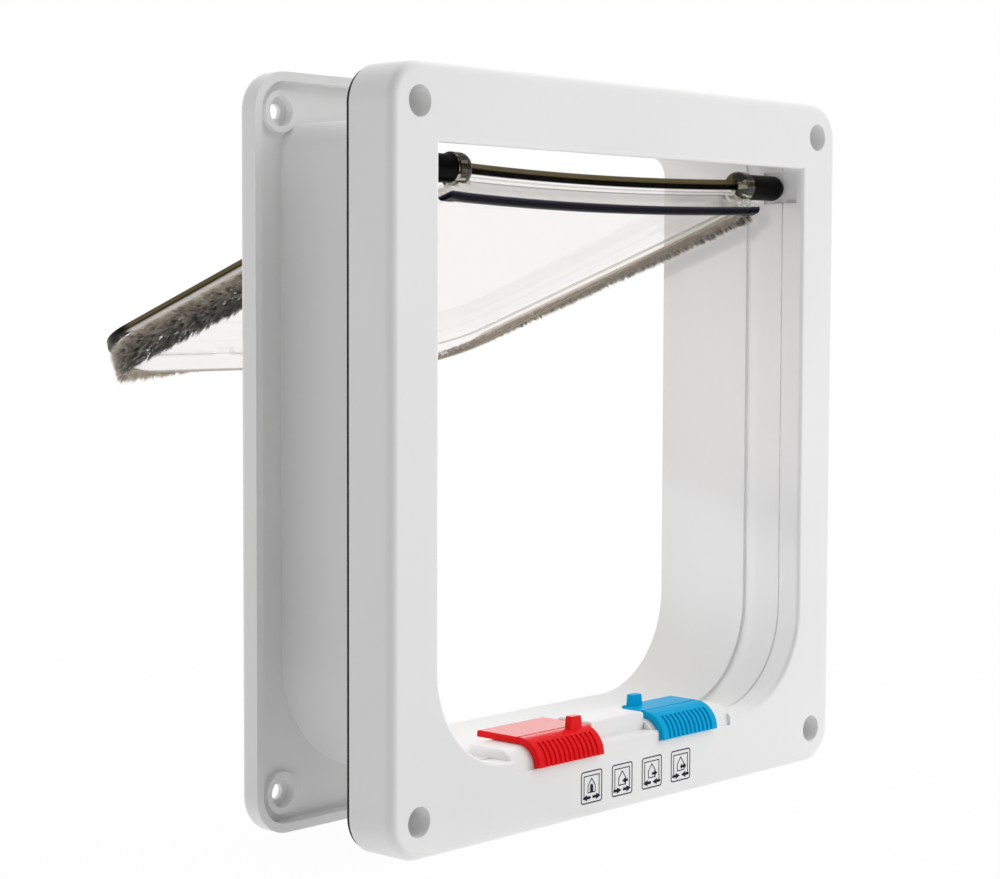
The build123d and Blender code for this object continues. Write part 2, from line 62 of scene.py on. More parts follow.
# Camera: a long lens on the room side, to the left of the flap and a little above
# its middle. It looks across the front frame into the opening.
lens_mm = 82.39
film_width_mm = 36.0
camera_place = Vector((-0.6166, -0.5132, 0.0527))
camera_azimuth, camera_elevation, camera_roll = np.radians((-47.84, 3.6, 0.2))
camera_back = Vector((
    np.sin(camera_azimuth) * np.cos(camera_elevation),
    -np.cos(camera_azimuth) * np.cos(camera_elevation),
    np.sin(camera_elevation),
))
level_right = Vector((0, 0, 1)).cross(camera_back).normalized()
level_up = camera_back.cross(level_right)
camera_right = level_right * np.cos(camera_roll) + level_up * np.sin(camera_roll)
camera_up = level_up * np.cos(camera_roll) - level_right * np.sin(camera_roll)
camera_data = bpy.data.cameras.new("camera")
camera_data.lens = lens_mm
camera_data.sensor_fit = "HORIZONTAL"
camera_data.sensor_width = film_width_mm
camera = bpy.data.objects.new("camera", camera_data)
camera.matrix_world = Matrix((camera_right, camera_up, camera_back)).transposed().to_4x4()
camera.location = camera_place
bpy.context.scene.collection.objects.link(camera)
bpy.context.scene.camera = camera
bpy.context.scene.view_settings.view_transform = "Standard"


# Studio: a white sweep that reads as plain white, dim on the camera's side, and a pale floor with a faint
# shadow. Soft boxes stand front right and rear right and hang above, and a narrow strip behind on the
# left lights the inner wall through the opening.
class Wire:
    """A shader value. Arithmetic on it adds one Math node for each operator."""

    def __init__(self, finish, socket):
        self.finish = finish
        self.socket = socket

    def maths(self, operation, first, second):
        return self.finish.node("ShaderNodeMath", {"operation": operation}, {0: first, 1: second})

    def __add__(self, other):
        return self.maths("ADD", self, other)

    def __sub__(self, other):
        return self.maths("SUBTRACT", self, other)

    def __rsub__(self, other):
        return self.maths("SUBTRACT", other, self)

    def __mul__(self, other):
        return self.maths("MULTIPLY", self, other)

    def above(self, other):
        return self.maths("MAXIMUM", self, other)

    def size(self):
        return self.maths("ABSOLUTE", self, 0.0)

    def root(self):
        return self.maths("SQRT", self, 0.0)

    def rise(self, start, stop, low=0.0, high=1.0):
        """A smooth step from low to high as the value goes from start to stop."""
        ends = {0: self, 1: start, 2: stop, 3: low, 4: high}
        return self.finish.node("ShaderNodeMapRange", {"interpolation_type": "SMOOTHSTEP"}, ends)

    def fall(self, start, stop):
        """A smooth step from 1 to 0 as the value goes from start to stop."""
        return 1 - self.rise(start, stop)


class Finish:
    """The node tree of a material or of the world, written from its first node to its last."""

    def __init__(self, owner):
        owner.use_nodes = True
        self.tree = owner.node_tree
        self.tree.nodes.clear()

    def node(self, kind, settings=None, inputs=None, output=0):
        """Adds a node: its settings first, then the values or links of its sockets."""
        made = self.tree.nodes.new(kind)
        for name, value in (settings or {}).items():
            if name == "stops":
                self.set_stops(made.color_ramp.elements, value)
            else:
                setattr(made, name, value)
        for name, value in (inputs or {}).items():
            if isinstance(value, Wire):
                self.tree.links.new(value.socket, made.inputs[name])
            else:
                made.inputs[name].default_value = value
        return Wire(self, made.outputs[output]) if made.outputs else None

    def set_stops(self, elements, stops):
        """Gives a colour ramp its stops, each a place and a colour."""
        while len(elements) < len(stops):
            elements.new(1.0)
        for element, (place, colour) in zip(elements, stops):
            element.position = place
            element.color = (*colour, 1.0)


def softbox(name, place, aim, width, height, power, spread=180):
    """A soft light at a place, turned towards a point. It isn't seen in or through the plastic."""
    light = bpy.data.lights.new(name, "AREA")
    light.shape = "RECTANGLE"
    light.size = width
    light.size_y = height
    light.energy = power
    light.spread = np.radians(spread)
    lamp = bpy.data.objects.new(name, light)
    lamp.visible_glossy = False
    lamp.visible_transmission = False
    lamp.location = place
    lamp.rotation_euler = (Vector(aim) - Vector(place)).to_track_quat("-Z", "Y").to_euler()
    bpy.context.scene.collection.objects.link(lamp)


softbox("key_light", (1.55, -1.15, 0.85), (0, 0, 0), 1.0, 1.0, 14.5)
softbox("rear_light", (1.3, 1.25, 0.7), (0, 0, 0), 1.0, 1.0, 2)
softbox("inner_light", (-0.75, 0.85, 0.26), (0.098, 0.02, -0.02), 0.06, 0.22, 0.0165, spread=7)
softbox("top_light", (0.3, -0.35, 1.5), (0, 0, 0), 1.1, 1.1, 5)

bright_way = (0.80, 0.55, 0.24)
dim_side, bright_side = 0.10, 1.12
side_fade = (-0.7, 0.8)
back_way = (0.0, 1.0, 0.0)
dim_reflection, bright_reflection = 0.12, 1.0
reflection_fade = (-0.35, 0.25)
world = bpy.data.worlds.new("white_sweep")
bpy.context.scene.world = world
sky = Finish(world)
heading = sky.node("ShaderNodeTexCoord", output="Generated")
towards_bright, towards_back = (
    sky.node("ShaderNodeVectorMath", {"operation": "DOT_PRODUCT"}, {0: heading, 1: way}, output="Value")
    for way in (bright_way, back_way)
)
camera_ray, glass_ray, mirror_ray = (
    sky.node("ShaderNodeLightPath", output=kind)
    for kind in ("Is Camera Ray", "Is Transmission Ray", "Is Glossy Ray")
)
seen = camera_ray.above(glass_ray)
mirrored = towards_back.rise(*reflection_fade, dim_reflection, bright_reflection)
spread = towards_bright.rise(*side_fade, dim_side, bright_side)
sweep = sky.node(
    "ShaderNodeBackground",
    inputs={
        "Color": (1, 1, 1, 1),
        "Strength": seen + (1 - seen) * (mirror_ray * mirrored + (1 - mirror_ray) * spread),
    },
)
sky.node("ShaderNodeOutputWorld", inputs={"Surface": sweep})

floor_reach = 40.0
shadow_fade = (0.2, 0.7)
shadow_share = 0.03
floor_bounce = 0.6
floor_grey = 0.85
floor_low = cad_box[0].z
floor_mesh = bpy.data.meshes.new("floor")
floor_mesh.from_pydata(
    [(x * floor_reach, y * floor_reach, floor_low) for x, y in ((-1, -1), (1, -1), (1, 1), (-1, 1))],
    [],
    [(0, 1, 2, 3)],
)
floor = bpy.data.objects.new("floor", floor_mesh)
bpy.context.scene.collection.objects.link(floor)
floor_finish = bpy.data.materials.new("floor_paper")
paper = Finish(floor_finish)
floor_camera_ray, floor_glass_ray, floor_mirror_ray, floor_soft_ray = (
    paper.node("ShaderNodeLightPath", output=kind)
    for kind in ("Is Camera Ray", "Is Transmission Ray", "Is Glossy Ray", "Is Diffuse Ray")
)
floor_seen = floor_camera_ray.above(floor_glass_ray).above(floor_soft_ray * floor_bounce)
floor_place = paper.node("ShaderNodeTexCoord", output="Object")
away = paper.node("ShaderNodeVectorMath", {"operation": "LENGTH"}, {0: floor_place}, output="Value")
plain_white = away.rise(*shadow_fade, 1 - shadow_share, 1.0)
lit = paper.node("ShaderNodeBsdfDiffuse", inputs={"Color": (floor_grey, floor_grey, floor_grey, 1)})
glow = paper.node("ShaderNodeEmission", inputs={"Color": (1, 1, 1, 1), "Strength": 1.0})
glow_share = (floor_seen * plain_white).above(floor_mirror_ray)
shown = paper.node("ShaderNodeMixShader", inputs={0: glow_share, 1: lit, 2: glow})
paper.node("ShaderNodeOutputMaterial", inputs={"Surface": shown})
floor_mesh.materials.append(floor_finish)


# Frames: injection-moulded white plastic with a satin skin. The interior frame carries
# the lock rails and the exterior one the tunnel; a small white block covers the sill magnet.
def moulded_plastic(name, colour, roughness, grain_depth, mottle=0.02, gloss=0.5, coat=0.0):
    """Moulded plastic: its colour drifts a little, and its skin has a fine grain and uneven gloss.
    A coat lies on the faces that look up."""
    roughness_swing = 0.12
    up_fade = (0.96, 0.995)
    material = bpy.data.materials.new(name)
    finish = Finish(material)
    place = finish.node("ShaderNodeTexCoord", output="Object")
    drift = finish.node(
        "ShaderNodeTexNoise", inputs={"Vector": place, "Scale": 14.0, "Detail": 2.0, "Roughness": 0.5}
    )
    grain = finish.node(
        "ShaderNodeTexNoise", inputs={"Vector": place, "Scale": 1400.0, "Detail": 2.0, "Roughness": 0.6}
    )
    smears = finish.node(
        "ShaderNodeTexNoise", inputs={"Vector": place, "Scale": 60.0, "Detail": 4.0, "Roughness": 0.6}
    )
    tint = finish.node(
        "ShaderNodeValToRGB",
        {
            "stops": (
                (0.3, [level * (1 - mottle) for level in colour]),
                (0.7, [min(level * (1 + mottle), 1.0) for level in colour]),
            )
        },
        {"Fac": drift},
    )
    skin = finish.node(
        "ShaderNodeBump", inputs={"Height": grain, "Strength": 0.25, "Distance": grain_depth}
    )
    facing = finish.node("ShaderNodeNewGeometry", output="Normal")
    upward = finish.node("ShaderNodeSeparateXYZ", inputs={0: facing}, output="Z")
    shader = finish.node(
        "ShaderNodeBsdfPrincipled",
        inputs={
            "Base Color": tint,
            "Roughness": smears * roughness_swing + (roughness - roughness_swing / 2),
            "Specular IOR Level": gloss,
            "Coat Weight": upward.rise(*up_fade, 0.0, coat),
            "Coat Roughness": 0.08,
            "Normal": skin,
        },
    )
    finish.node("ShaderNodeOutputMaterial", inputs={"Surface": shader})
    return material


def dress(material, *names):
    """Gives CAD nodes a material in place of their plain one."""
    for name in names:
        for slot in nodes[name].material_slots:
            slot.material = material


white_plastic = moulded_plastic("white_plastic", (0.955, 0.955, 0.95), 0.36, 0.00004, mottle=0.015)
dress(white_plastic, "interior_frame", "exterior_frame", "magnet_cover")


# Gasket: a thin ring of black closed-cell foam on the back of the interior frame,
# which seals it to the door.
foam = bpy.data.materials.new("black_foam")
foam_finish = Finish(foam)
foam_place = foam_finish.node("ShaderNodeTexCoord", output="Object")
cells = foam_finish.node("ShaderNodeTexVoronoi", inputs={"Vector": foam_place, "Scale": 2200.0})
foam_tint = foam_finish.node(
    "ShaderNodeValToRGB", {"stops": ((0.1, (0.008,) * 3), (0.7, (0.03,) * 3))}, {"Fac": cells}
)
foam_skin = foam_finish.node(
    "ShaderNodeBump", inputs={"Height": cells, "Strength": 0.6, "Distance": 0.0002}
)
foam_shader = foam_finish.node(
    "ShaderNodeBsdfPrincipled", inputs={"Base Color": foam_tint, "Roughness": 0.9, "Normal": foam_skin}
)
foam_finish.node("ShaderNodeOutputMaterial", inputs={"Surface": foam_shader})
dress(foam, "door_gasket")


# Flap: one clear moulding in lightly smoked plastic. Its faces look almost white. Its edges and the
# bowed bar along the hinge, where light has a long way to go, are painted olive, brown, slate, navy and
# black, and its knuckles a darker olive: painted shade for the light these thick clear parts lose. A
# painted tan line along the rim's crest shows the tape through it, and the flange under the panel is
# painted a pale beige as painted light. Each pair of lengths is where such a painted tint starts or ends
# and where it is full or gone.
swing = np.radians(70)
hinge = np.array(next(joint["pos_m"] for joint in frame["joints"] if joint["name"] == "flap_swing"))
flap_edge, flap_foot, flap_corner = 0.0965, 0.185, 0.030
panel_face = 0.0014
rim_crest, rim_slope = 0.0038, 0.0281
bar_end, lip_end = 0.0795, 0.0842
bar_middle, bar_sag, bar_half = 0.0015, 0.004, 0.0032
knuckle_start, knuckle_radius = 0.0720, 0.0057
knuckle_blur, bar_blur, face_blur = 0.0005, 0.0003, 0.0001
middle_fade = (-0.001, 0.001)
bar_dark, bar_floor = (-0.0008, 0.0), (0.0016, 0.0020)
lip_roof, lip_dark = (0.0083, 0.0087), (0.0088, 0.0096)
edge_band = (flap_corner - 0.0007, flap_corner - 0.0004)
side_end, side_dark = (0.172, 0.180), (0.0002, 0.0006)
tip_start, tip_end = (0.150, 0.156), (0.180, 0.184)
crest_band, crest_outside = (-0.0007, -0.0003), (0.0936, 0.0938)
crest_side, crest_foot, crest_start = (0.080, 0.086), (0.166, 0.170), (0.012, 0.014)
flange_band, flange_start = (flap_corner - 0.0034, flap_corner - 0.0032), (0.008, 0.010)
crest_share, flange_share = 0.7, 0.6
clear_tint = (0.93, 0.915, 0.902, 1)
pane_tint = (0.980, 0.972, 0.968, 1)
pane_share, bar_share = 0.88, 0.6
# Painted shade: a darker olive for the knuckles' dark refraction.
knuckle_shade_tint = (0.24, 0.22, 0.155, 1)
# Painted shade on the edges and the bar: olive, brown, black, navy and slate.
olive_edge_shade = (0.165, 0.130, 0.058, 1)
brown_edge_shade = (0.060, 0.045, 0.026, 1)
black_edge_shade = (0.003, 0.003, 0.002, 1)
navy_edge_shade = (0.005, 0.005, 0.011, 1)
slate_edge_shade = (0.040, 0.039, 0.058, 1)
# Painted view of the tape through the rim's crest, as a tan line.
tan_crest_refraction = (0.50, 0.44, 0.35, 1)
# Painted light: a pale band on the flange under the panel.
beige_flange_light = (0.88, 0.82, 0.74, 1)
clear = bpy.data.materials.new("smoked_clear_painted_edges")
clear_finish = Finish(clear)
clear_place = clear_finish.node("ShaderNodeTexCoord", output="Object")
clear_haze = clear_finish.node(
    "ShaderNodeTexNoise", inputs={"Vector": clear_place, "Scale": 90.0, "Detail": 3.0}
)
lay = np.pi / 2 - swing
lay_rows = np.array(((np.cos(lay), -np.sin(lay)), (np.sin(lay), np.cos(lay))))
flat_place = clear_finish.node(
    "ShaderNodeMapping",
    inputs={"Vector": clear_place, "Rotation": (lay, 0, 0), "Location": (0, *(-lay_rows @ hinge[1:]))},
)
across, along, height = (
    clear_finish.node("ShaderNodeSeparateXYZ", inputs={0: flat_place}, output=axis) for axis in "XYZ"
)
near_side = across.fall(*middle_fade)
across = across.size()
depth = 0 - height
bow = (1 - across * across * (1 / bar_end ** 2)) * bar_sag + bar_middle
on_bow = (along - bow).size().fall(bar_half, bar_half + bar_blur)
bar_upper = on_bow * across.fall(bar_end, bar_end + bar_blur) * depth.fall(*bar_floor)
bar_lower = on_bow * across.fall(lip_end, lip_end + bar_blur) * depth.rise(*lip_roof)
on_panel = depth.fall(panel_face, panel_face + face_blur)
corner_across = (across - (flap_edge - flap_corner)).above(0.0)
corner_along = (along - (flap_foot - flap_corner)).above(0.0)
edge_reach = (corner_across * corner_across + corner_along * corner_along).root()
at_edge = on_panel * edge_reach.rise(*edge_band)
side_edge = at_edge * near_side * along.fall(*side_end)
side_lower = side_edge * depth.rise(*side_dark)
tip_edge_run = near_side * along.rise(*tip_start) * along.fall(*tip_end)
tip_edge = at_edge * tip_edge_run
off_crest = depth - along * rim_slope - rim_crest
crest = off_crest.rise(*crest_band) * across.rise(*crest_side).above(along.rise(*crest_foot))
crest = crest * across.fall(*crest_outside) * along.rise(*crest_start) * crest_share
under_panel = depth.rise(panel_face - 3 * face_blur, panel_face - face_blur) * on_panel
flange = under_panel * edge_reach.rise(*flange_band) * along.rise(*flange_start)
flange_tip = flange * tip_edge_run
flange = flange * along.fall(*side_end) * flange_share
painted_edge_tint = olive_edge_shade
# Paints the edge shade, the crest's tan line and the flange's pale light, one mask over another.
for mask, colour in (
    (bar_upper * depth.rise(*bar_dark), black_edge_shade),
    (bar_lower, slate_edge_shade),
    (bar_lower * depth.rise(*lip_dark), navy_edge_shade),
    (side_lower, brown_edge_shade),
    (tip_edge, black_edge_shade),
    (crest, tan_crest_refraction),
    (flange, beige_flange_light),
    (flange_tip, black_edge_shade),
):
    painted_edge_tint = clear_finish.node(
        "ShaderNodeMix", {"data_type": "RGBA"}, {0: mask, 6: painted_edge_tint, 7: colour}, output=2
    )
axle_reach = (along * along + depth * depth).root()
on_knuckle = across.rise(knuckle_start, knuckle_start + knuckle_blur)
on_knuckle = on_knuckle * axle_reach.fall(knuckle_radius, knuckle_radius + bar_blur)
# Painted shade: the knuckles' transmission is tinted a darker olive for their dark refraction.
clear_colour = clear_finish.node(
    "ShaderNodeMix", {"data_type": "RGBA"}, {0: on_knuckle, 6: clear_tint, 7: knuckle_shade_tint}, output=2
)
clear_shader = clear_finish.node(
    "ShaderNodeBsdfPrincipled",
    inputs={
        "Base Color": clear_colour,
        "Roughness": clear_haze * 0.05,
        "IOR": 1.49,
        "Transmission Weight": 1.0,
    },
)
# An opaque surface that carries the painted shade and painted light of the edges, crest and flange.
painted_edge_shader = clear_finish.node(
    "ShaderNodeBsdfPrincipled",
    inputs={"Base Color": painted_edge_tint, "Roughness": clear_haze * 0.2 + 0.08, "Specular IOR Level": 0.03},
)
painted_edge_share = bar_upper
for mask in (bar_lower, side_edge, tip_edge, crest, flange, flange_tip):
    painted_edge_share = painted_edge_share.above(mask)
pane_shader = clear_finish.node("ShaderNodeBsdfTransparent", inputs={"Color": pane_tint})
clearness = (1 - on_knuckle) * (pane_share - on_bow * (pane_share - bar_share))
pane = clear_finish.node(
    "ShaderNodeMixShader", inputs={0: clearness, 1: clear_shader, 2: pane_shader}
)
clear_surface = clear_finish.node("ShaderNodeMixShader", inputs={0: painted_edge_share, 1: pane, 2: painted_edge_shader})
clear_depth = clear_finish.node(
    "ShaderNodeVolumeAbsorption", inputs={"Color": (0.40, 0.37, 0.25, 1), "Density": 6.0}
)
clear_finish.node("ShaderNodeOutputMaterial", inputs={"Surface": clear_surface, "Volume": clear_depth})
dress(clear, "flap_panel")


# Pile strips: grey fibres woven into a tape, which is glued round the outside of the flap's rim.
# They brush the tunnel and keep the draught out.
rim_side = 0.0932
rim_foot = 0.1817
rim_corner = 0.0267
pile_start = 0.0105
pile_end = 0.038
foot_near, foot_far = 0.0084, 0.0096
narrow_from = 0.2
fibre_radius = 0.00007
tuft_count, tuft_fibres = 5400, 11
tuft_size = 0.00022
tuft_thinning = 1.05
lean_least, lean_gain, lean_spread = 0.2, 0.8, (0.2, 0.06)
foot_shortening, length_spread = 0.85, (0.12, 0.12)
# Painted shade: how much darker the fibres rooted towards the lower edge are made, for the pile's lower side
# in shadow.
lower_painted_shade, tone_spread = 1.1, (0.40, 0.05)
tape_rows, tape_turn, tape_taper = 80, 0.7, 0.98
tape_low, tape_high = 0.00005, 0.0004
tape_lap = 0.0012
tape_tone = (1.0, 0.5)
straight_run = rim_foot - rim_corner - pile_start
corner_run = rim_corner * np.pi / 2
pile_run = straight_run + corner_run + rim_side - rim_corner - pile_end


def rim_path(run):
    """The rim's outside at a length along it: down the side, round the corner and along the foot.
    Gives across and along in the flap's plane, and the outward normal there."""
    turn = np.clip((run - straight_run) / rim_corner, 0, np.pi / 2)
    past = np.clip(run - straight_run - corner_run, 0, None)
    before = np.clip(straight_run - run, 0, None)
    across = rim_side - rim_corner + rim_corner * np.cos(turn) - past
    along = rim_foot - rim_corner + rim_corner * np.sin(turn) - before
    return across, along, np.cos(turn), np.sin(turn)


def on_flap(side, across, along, depth):
    """Points of the flap's plane in the shared frame: along runs down the open flap, depth into the room."""
    y = hinge[1] + along * np.sin(swing) - depth * np.cos(swing)
    z = hinge[2] - along * np.cos(swing) - depth * np.sin(swing)
    return np.stack((side * across, y, z), axis=-1)


def pile_edges(run, pile_near, pile_far):
    """Depths between which the pile is rooted: a broad band along the side, which narrows round the corner
    to a thin line along the foot."""
    turn = np.clip((run - straight_run - narrow_from * corner_run) / corner_run, 0, 1)
    turn = turn * turn * (3 - 2 * turn)
    foot = np.clip((run - straight_run - corner_run) / (pile_run - straight_run - corner_run), 0, 1)
    near = pile_near + (foot_near - pile_near) * turn
    far = pile_far + (foot_far - pile_far) * turn
    return near, far + (near - far) * foot


def pile_fibres(side, pile_near, pile_far, fibre_length, paleness_and_light, fade, draw):
    """Fibres as three-sided spikes, set in tufts that lean each their own way and differ in tone. They leave
    the tape along the outward normal, and near the lower edge they point more into the room and are darker:
    painted shade, for the pile's lower side in shadow. A strip's paleness sets the tone its fibres start
    from, and a greater one paints light on a strip lit from behind. Round the corner and along the foot
    they grow shorter, paler and fewer, and as far as fade says they grow shorter and paler down the side
    too."""
    tuft_run = draw.uniform(0, pile_run, tuft_count)
    tuft_foot = (tuft_run - straight_run) / (pile_run - straight_run)
    tuft_run = tuft_run[draw.uniform(0, 1, tuft_count) > tuft_thinning * tuft_foot]
    tufts = len(tuft_run)
    fibre_count = tufts * tuft_fibres

    def vary(tuft_spread, fibre_spread):
        """A value for each fibre: a part that its tuft shares plus a part of its own."""
        shared = np.repeat(draw.normal(0, tuft_spread, tufts), tuft_fibres)
        return shared + draw.normal(0, fibre_spread, fibre_count)

    run = np.clip(np.repeat(tuft_run, tuft_fibres) + vary(0, tuft_size), 0, pile_run)
    lower = np.repeat(draw.uniform(0, 1, tufts), tuft_fibres)
    near, far = pile_edges(run, pile_near, pile_far)
    depth = near + (far - near) * lower + vary(0, tuft_size)
    foot = np.clip((run - straight_run) / (pile_run - straight_run), 0, 1)
    lean_run = vary(*lean_spread)
    lean_depth = lean_least + lean_gain * lower ** 2 + vary(*lean_spread)
    faded = fade * np.clip(run / straight_run, 0, 1)
    length = fibre_length * (1 - faded) * (1 - foot_shortening * foot) * (1 + vary(*length_spread))
    # Painted shade darkens the fibres rooted towards the lower edge, and a greater paleness paints light.
    tone = paleness_and_light + faded - lower_painted_shade * lower * (1 - foot) ** 2 + foot + vary(*tone_spread)
    across, along, normal_x, normal_a = rim_path(run)
    root = np.stack((across, along, depth), axis=-1)
    outward = np.stack((normal_x, normal_a, np.zeros_like(run)), axis=-1)
    tangent = np.stack((-normal_a, normal_x, np.zeros_like(run)), axis=-1)
    down = np.array((0.0, 0.0, 1.0))
    heading = outward + tangent * lean_run[:, None] + down * lean_depth[:, None]
    heading /= np.linalg.norm(heading, axis=1, keepdims=True)
    first = np.cross(heading, tangent)
    first /= np.linalg.norm(first, axis=1, keepdims=True)
    second = np.cross(heading, first)
    angle = np.arange(3) * 2 * np.pi / 3
    ring = first[:, None] * np.cos(angle)[:, None] + second[:, None] * np.sin(angle)[:, None]
    tip = root + heading * length[:, None]
    points = np.concatenate((root[:, None] + ring * fibre_radius, tip[:, None]), axis=1)
    corners = np.array([((k + 1) % 3, k, 3) for k in range(3)])
    faces = corners[None] + 4 * np.arange(fibre_count)[:, None, None]
    shade = np.repeat(np.clip(tone, 0, 1), 4)
    height = np.tile((0, 0, 0, 1), fibre_count)
    points = on_flap(side, points[..., 0], points[..., 1], points[..., 2]).reshape(-1, 3)
    return points, faces.reshape(-1, 3), shade, height


def pile_tape(side, tape_near):
    """The woven tape under the fibres: a flat section carried along the rim's path, from below the panel
    to the rim's crest. It narrows to nothing round the corner."""
    run = np.linspace(0, straight_run + tape_turn * corner_run, tape_rows)
    across, along, normal_x, normal_a = (values[:, None] for values in rim_path(run))
    lift = np.array((tape_low, tape_high, tape_high, tape_low))
    crest = rim_crest + rim_slope * along
    taper = np.clip((run[:, None] - straight_run) / (tape_turn * corner_run), 0, tape_taper)
    upper = tape_near + (crest - tape_near) * taper
    depth = upper * (1, 1, 0, 0) + crest * (0, 0, 1, 1)
    points = on_flap(side, across + normal_x * lift, along + normal_a * lift, depth)
    row = np.arange(tape_rows - 1)[:, None] * 4
    step = np.arange(4)
    after = (step + 1) % 4
    walls = np.stack((row + step, row + after, row + 4 + after, row + 4 + step), axis=-1).reshape(-1, 4)
    ends = np.array(((3, 2, 1, 0), tuple((tape_rows - 1) * 4 + step)))
    quads = np.concatenate((walls, ends))
    return points.reshape(-1, 3), np.concatenate((quads[:, :3], quads[:, (0, 2, 3)]))


def mesh_piece(name, points, faces, material):
    """A mesh object from arrays of points and faces."""
    mesh = bpy.data.meshes.new(name)
    mesh.from_pydata(points.tolist(), [], faces.tolist())
    mesh.materials.append(material)
    piece = bpy.data.objects.new(name, mesh)
    bpy.context.scene.collection.objects.link(piece)
    return piece


pile = bpy.data.materials.new("grey_pile")
pile_finish = Finish(pile)
fibre_map = pile_finish.node("ShaderNodeUVMap", {"uv_map": "fibre"})
fibre_shade = pile_finish.node("ShaderNodeSeparateXYZ", inputs={0: fibre_map}, output="X")
fibre_height = pile_finish.node("ShaderNodeSeparateXYZ", inputs={0: fibre_map}, output="Y")
pile_tint = pile_finish.node(
    "ShaderNodeValToRGB",
    {
        "stops": (
            (0.0, (0.025, 0.022, 0.017)),
            (0.35, (0.16, 0.149, 0.130)),
            (0.7, (0.62, 0.585, 0.53)),
            (1.0, (0.97, 0.93, 0.87)),
        )
    },
    {"Fac": fibre_height * 0.20 + fibre_shade * 0.90},
)
pile_shader = pile_finish.node(
    "ShaderNodeBsdfPrincipled", inputs={"Base Color": pile_tint, "Roughness": 0.85, "Sheen Weight": 0.3}
)
pile_glow = pile_finish.node("ShaderNodeBsdfTranslucent", inputs={"Color": (0.85, 0.81, 0.75, 1)})
glow_part = fibre_shade * 0.5 + 0.05
pile_surface = pile_finish.node("ShaderNodeMixShader", inputs={0: glow_part, 1: pile_shader, 2: pile_glow})
pile_finish.node("ShaderNodeOutputMaterial", inputs={"Surface": pile_surface})
# The right strip's greater paleness is painted light: it is seen from inside and lit from behind.
for side, name, pile_near, pile_far, fibre_length, paleness_and_light, fade in (
    (-1, "left", 0.0028, 0.0128, 0.0038, 1.0, 0.0),
    (1, "right", 0.0048, 0.0078, 0.0027, 1.55, 0.65),
):
    draw = np.random.default_rng(40 + side)
    points, faces, shade, height = pile_fibres(side, pile_near, pile_far, fibre_length, paleness_and_light, fade, draw)
    tape_points, tape_faces = pile_tape(side, pile_near - tape_lap)
    faces = np.concatenate((faces, tape_faces + len(points)))[:, ::side]
    points = np.concatenate((points, tape_points))
    strip = mesh_piece(f"pile_{name}", points, faces, pile)
    tape_weave = np.tile(tape_tone, (len(tape_points), 1))
    weave = np.concatenate((np.stack((shade, height), axis=-1), tape_weave))
    fibre_uv = strip.data.uv_layers.new(name="fibre")
    fibre_uv.data.foreach_set("uv", weave[faces].ravel().astype(np.float32))
    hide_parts(f"pile_strip_{name}")
    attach(strip, "flap")


# Hinge: black plastic bushes pressed into the side walls hold short steel pins,
# and the flap's clear knuckles turn on them.
black_plastic = moulded_plastic(
    "black_plastic", (0.003, 0.0029, 0.0026), 0.36, 0.00003, mottle=0.2, gloss=0.04
)
dress(black_plastic, "hinge_bush_left", "hinge_bush_right")

steel = bpy.data.materials.new("pin_steel")
steel_finish = Finish(steel)
steel_place = steel_finish.node("ShaderNodeTexCoord", output="Object")
steel_stretch = steel_finish.node(
    "ShaderNodeMapping", inputs={"Vector": steel_place, "Scale": (300.0, 9000.0, 9000.0)}
)
turning = steel_finish.node(
    "ShaderNodeTexNoise", inputs={"Vector": steel_stretch, "Scale": 1.0, "Detail": 3.0}
)
steel_shader = steel_finish.node(
    "ShaderNodeBsdfPrincipled",
    inputs={"Base Color": (0.58, 0.58, 0.57, 1), "Metallic": 1.0, "Roughness": turning * 0.2 + 0.2},
)
steel_finish.node("ShaderNodeOutputMaterial", inputs={"Surface": steel_shader})
dress(steel, "hinge_pin_left", "hinge_pin_right")


# Lock sliders: glossy red and blue mouldings with a ribbed grip, which ride on the sill's rails.
# The red one bars the way in and the blue one the way out.
red_plastic = moulded_plastic("red_plastic", (0.88, 0.012, 0.016), 0.28, 0.00002, gloss=0.06, coat=1.0)
blue_plastic = moulded_plastic("blue_plastic", (0.002, 0.43, 0.78), 0.32, 0.00002, gloss=0.04)
dress(red_plastic, "red_lock_slider")
dress(blue_plastic, "blue_lock_slider")


# Magnets: dark sintered blocks, one under the white cover on the sill
# and one glued behind the flap's lower rim.
magnet = moulded_plastic("dark_magnet", (0.045, 0.043, 0.042), 0.5, 0.0001, mottle=0.15)
dress(magnet, "sill_magnet", "flap_magnet")


# Pictograms: thin lines of navy ink on the front face below the sliders. Each shows a doorway,
# a house and the arrows of the two sliders for one lock setting, drawn in units of a millimetre.
unit = 0.001
sign_half, sign_corner = 5.4 * unit, 0.9 * unit
sign_pitch = 0.0165
sign_first_x = -0.0232
sign_rise = 0.0106
sign_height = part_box("interior_frame")[0].z + sign_rise
face_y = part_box("interior_frame")[0].y
ink_proud = 0.00006
ink_sunk = 0.00004
line_width = 0.00040
fine_width = 0.00034


def prism(left, right, closed):
    """A thin solid between two lines of points in the face's plane, from just inside the face to
    just proud of it. The lines run side by side, left and right as seen from the room."""
    count = len(left)
    flat = np.concatenate((left, right))
    front = np.stack((flat[:, 0], np.full(2 * count, face_y - ink_proud), flat[:, 1]), axis=-1)
    back = front + (0, ink_proud + ink_sunk, 0)
    index = np.arange(count if closed else count - 1)
    after = (index + 1) % count
    front_faces = np.stack((index, count + index, count + after, after), axis=-1)
    back_faces = front_faces[:, ::-1] + 2 * count
    left_wall = np.stack((index, after, after + 2 * count, index + 2 * count), axis=-1)
    right_wall = left_wall[:, ::-1] + count
    faces = [front_faces, back_faces, left_wall, right_wall]
    if not closed:
        last = count - 1
        caps = ((0, 2 * count, 3 * count, count), (last, last + count, last + 3 * count, last + 2 * count))
        faces.append(np.array(caps))
    return np.concatenate((front, back)), np.concatenate(faces)


